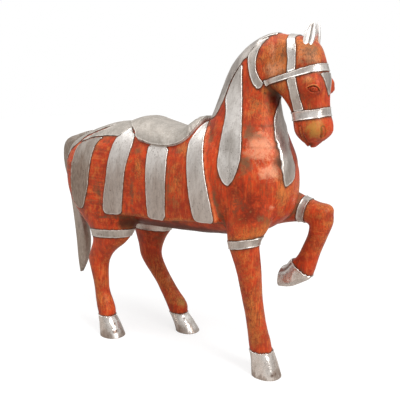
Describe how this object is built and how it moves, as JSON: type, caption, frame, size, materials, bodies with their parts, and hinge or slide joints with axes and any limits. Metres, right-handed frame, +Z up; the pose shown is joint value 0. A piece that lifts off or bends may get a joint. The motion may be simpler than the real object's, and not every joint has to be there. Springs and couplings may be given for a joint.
{
  "type": "carved horse sculpture",
  "caption": "Standing carved wooden horse with one foreleg raised, painted red and overlaid with nailed white-metal sheets on mane, bridle, saddle, flanks, tail and hooves.",
  "frame": {"origin": "middle of the horse's plan box, on the floor under its hooves", "axes": "+X the way the horse faces, +Y to its left, +Z up"},
  "size_m": [1.1122, 0.288, 1.1],
  "materials": {
    "painted_wood": "worn red-orange paint over carved wood, satin, with brown grime",
    "white_metal": "thin hand-beaten white-metal sheet, nailed, satin to bright, with dull grey patches"
  },
  "bodies": {
    "root": {"browband": "white_metal", "cheek_strap_left": "white_metal", "cheek_strap_right": "white_metal", "croup_sheet": "white_metal", "crown_piece": "white_metal", "ear_left": "white_metal", "ear_right": "white_metal", "face_pendant": "white_metal", "flank_strip_1_left": "white_metal", "flank_strip_1_right": "white_metal", "flank_strip_2_left": "white_metal", "flank_strip_2_right": "white_metal", "flank_strip_3_left": "white_metal", "flank_strip_3_right": "white_metal", "flank_strip_4_left": "white_metal", "flank_strip_4_right": "white_metal", "hoof_cap_fore_left": "white_metal", "hoof_cap_fore_right": "white_metal", "hoof_cap_hind_left": "white_metal", "hoof_cap_hind_right": "white_metal", "horse": "painted_wood", "leg_band_fore_left": "white_metal", "leg_band_fore_right": "white_metal", "leg_band_hind_left": "white_metal", "leg_band_hind_right": "white_metal", "mane_crescent_left": "white_metal", "mane_crescent_right": "white_metal", "mane_crest": "white_metal", "mane_lappet_left": "white_metal", "mane_lappet_right": "white_metal", "noseband": "white_metal", "saddle": "white_metal", "tail": "white_metal"}
  },
  "joints": []
}
